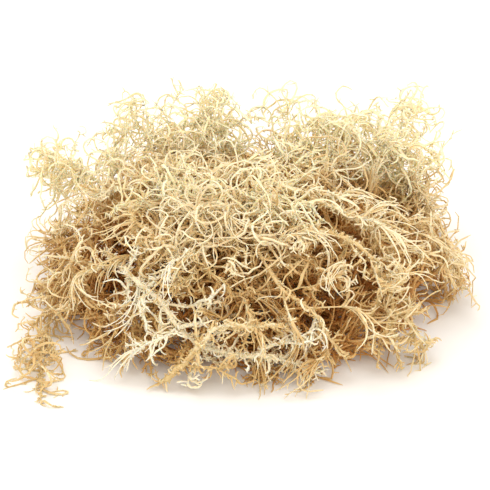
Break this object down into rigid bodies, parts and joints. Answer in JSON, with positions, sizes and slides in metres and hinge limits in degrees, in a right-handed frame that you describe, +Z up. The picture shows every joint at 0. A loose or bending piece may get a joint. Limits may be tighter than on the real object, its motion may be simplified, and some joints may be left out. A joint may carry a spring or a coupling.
{
  "type": "dried sea moss",
  "caption": "Loose tangled heap of dried golden seaweed fronds, with round tapering stems that branch in whorls into forked, curling shoots, lying as tipped out.",
  "frame": {"origin": "on the flat underside of the frond that carries the heap, on the floor, near the middle of the heap", "axes": "+Z up, +X to the heap's right as the picture's viewer sees it and along its longest side, -Y towards the viewer"},
  "size_m": [0.2272, 0.1979, 0.0928],
  "materials": {
    "moss_pale": "matt, pale straw, slightly translucent dried seaweed",
    "moss_golden": "matt, golden, slightly translucent dried seaweed",
    "moss_amber": "matt, amber, slightly translucent dried seaweed"
  },
  "bodies": {
    "root": {"frond_bed_01": "moss_amber", "frond_bed_02": "moss_amber", "frond_bed_03": "moss_amber", "frond_bed_04": "moss_amber", "frond_bed_05": "moss_amber", "frond_bed_06": "moss_amber", "frond_bed_07": "moss_amber", "frond_bed_08": "moss_amber", "frond_centre_branch": "moss_golden", "frond_centre_curl": "moss_pale", "frond_crown_far": "moss_golden", "frond_crown_left": "moss_golden", "frond_crown_right": "moss_golden", "frond_foot": "moss_amber", "frond_front_arc": "moss_pale", "frond_front_long": "moss_pale", "frond_left_curl": "moss_golden", "frond_left_drape": "moss_pale", "frond_left_stray": "moss_pale", "frond_left_wisp": "moss_golden", "frond_low_01": "moss_amber", "frond_low_02": "moss_amber", "frond_low_03": "moss_amber", "frond_low_04": "moss_amber", "frond_low_05": "moss_amber", "frond_low_06": "moss_amber", "frond_mid_01": "moss_golden", "frond_mid_02": "moss_golden", "frond_mid_03": "moss_golden", "frond_mid_04": "moss_golden", "frond_mid_05": "moss_golden", "frond_mid_06": "moss_golden", "frond_mid_07": "moss_golden", "frond_right_arc": "moss_pale", "frond_right_drape": "moss_pale", "frond_right_reach": "moss_golden", "frond_right_wisp": "moss_golden", "frond_top_01": "moss_golden", "frond_top_02": "moss_golden", "frond_top_03": "moss_golden", "frond_top_04": "moss_golden", "frond_top_05": "moss_golden", "frond_top_06": "moss_golden", "frond_top_07": "moss_golden", "frond_top_08": "moss_golden"}
  },
  "joints": []
}
